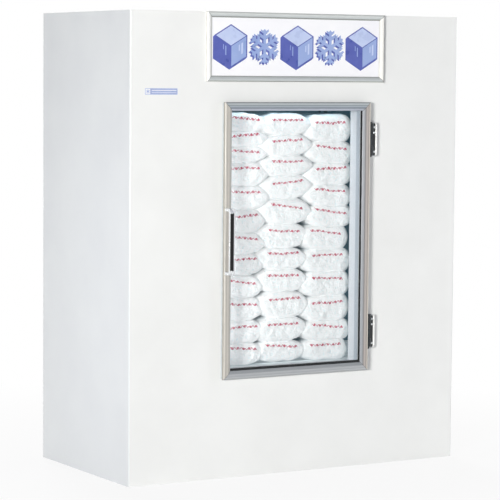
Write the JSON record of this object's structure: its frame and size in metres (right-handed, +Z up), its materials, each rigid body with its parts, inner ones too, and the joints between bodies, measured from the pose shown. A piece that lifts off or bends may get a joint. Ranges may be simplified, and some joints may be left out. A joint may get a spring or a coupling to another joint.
{
  "type": "ice merchandiser freezer",
  "caption": "Upright ice merchandiser: insulated steel cabinet with a glazed swing door, framed sign, stock of ice bags, ceiling evaporator and a condensing unit under the floor.",
  "frame": {"origin": "middle of the cabinet's base, on the floor", "axes": "+Z up, the door faces -Y, +X to the right as seen from the front"},
  "size_m": [1.645, 0.909, 1.981],
  "materials": {
    "white_paint": "gloss baked enamel on steel sheet",
    "side_paint": "gloss baked enamel on steel sheet",
    "galvanised": "galvanised steel sheet",
    "foam": null,
    "liner": "white coated steel sheet",
    "jamb_plastic": "extruded plastic",
    "sign_metal": "extruded aluminium, pale anodised",
    "sign_face": "printed plastic sheet",
    "door_aluminium": "extruded aluminium, satin anodised",
    "glass": "clear glass",
    "black_plastic": "moulded plastic",
    "white_plastic": "moulded plastic",
    "gasket": "soft vinyl with a magnetic strip",
    "chrome": "chrome plated die casting",
    "rack": "plastic coated slats",
    "bag_film": "clear film bag full of ice cubes",
    "coil": "aluminium fins on copper tube",
    "copper": null,
    "wire": "plated steel wire",
    "motor": "lacquered steel",
    "pan": "folded aluminium sheet",
    "drain_plastic": "plastic pipe",
    "tube_glass": "fluorescent tube glass",
    "black_enamel": "black enamel on drawn steel",
    "rubber": "rubber",
    "grey_plastic": "moulded plastic",
    "fan_plastic": "moulded plastic",
    "grille_paint": "enamel on pressed steel sheet"
  },
  "bodies": {
    "cabinet": {"base_pan": "galvanised", "left_side_panel": "side_paint", "right_side_panel": "side_paint", "front_panel": "white_paint", "back_panel": "side_paint", "top_panel": "white_paint", "left_insulation": "foam", "right_insulation": "foam", "front_insulation": "foam", "back_insulation": "foam", "ceiling_insulation": "foam", "floor_insulation": "foam", "side_liners": "liner", "front_liner": "liner", "back_liner": "liner", "ceiling_liner": "liner", "floor_liner": "liner", "deck_plate": "galvanised", "door_jamb": "jamb_plastic", "sign_rails": "sign_metal", "sign_stiles": "sign_metal", "sign_panel": "sign_face", "floor_rack": "rack", "ice_bags": "bag_film", "evaporator_housing": "pan", "evaporator_coil": "coil", "fan_guards": "wire", "evaporator_motors": "motor", "drip_pan": "pan", "drain_tube": "drain_plastic", "light_fitting": "white_plastic", "light_tube": "tube_glass", "compressor": "black_enamel", "compressor_feet": "rubber", "condenser_coil": "coil", "condenser_shroud": "motor", "condenser_motor": "motor", "suction_line": "copper", "liquid_line": "copper", "condensate_tray": "grey_plastic", "control_box": "grey_plastic", "rear_grille": "grille_paint", "cabinet_hinges": "chrome", "hinge_pins": "chrome"},
    "door": {"door_top_rail": "door_aluminium", "door_bottom_rail": "door_aluminium", "door_latch_stile": "door_aluminium", "door_hinge_stile": "door_aluminium", "glass_panes": "glass", "glass_spacers": "black_plastic", "glazing_bead": "white_plastic", "door_gasket": "gasket", "door_handle": "door_aluminium", "handle_inlay": "black_plastic", "door_hinges": "chrome"},
    "evaporator_fan_left": {"evaporator_fan_left": "fan_plastic"},
    "evaporator_fan_right": {"evaporator_fan_right": "fan_plastic"},
    "condenser_fan": {"condenser_fan": "fan_plastic"},
    "thermostat_knob": {"thermostat_knob": "black_plastic"},
    "light_switch": {"light_switch": "black_plastic"}
  },
  "joints": [
    {"name": "door_hinge", "type": "hinge", "parent": "cabinet", "child": "door", "pos_m": [0.3505, -0.4405, 1.018], "axis": [0, 0, 1], "range_deg": [0, 110], "stiffness_Nm_per_rad": 1.5, "springref_deg": -20.05},
    {"name": "evaporator_fan_left_spin", "type": "hinge", "parent": "cabinet", "child": "evaporator_fan_left", "pos_m": [-0.24, -0.0355, 1.823], "axis": [0, 1, 0], "continuous": true},
    {"name": "evaporator_fan_right_spin", "type": "hinge", "parent": "cabinet", "child": "evaporator_fan_right", "pos_m": [0.24, -0.0355, 1.823], "axis": [0, 1, 0], "continuous": true},
    {"name": "condenser_fan_spin", "type": "hinge", "parent": "cabinet", "child": "condenser_fan", "pos_m": [-0.23, 0.3053, 0.155], "axis": [0, 1, 0], "continuous": true},
    {"name": "thermostat_turn", "type": "hinge", "parent": "cabinet", "child": "thermostat_knob", "pos_m": [0.37, 0.3905, 0.306], "axis": [0, 1, 0], "range_deg": [0, 270]},
    {"name": "light_switch_rock", "type": "hinge", "parent": "cabinet", "child": "light_switch", "pos_m": [0.402, 0.3865, 0.24], "axis": [1, 0, 0], "range_deg": [0, 16]}
  ]
}
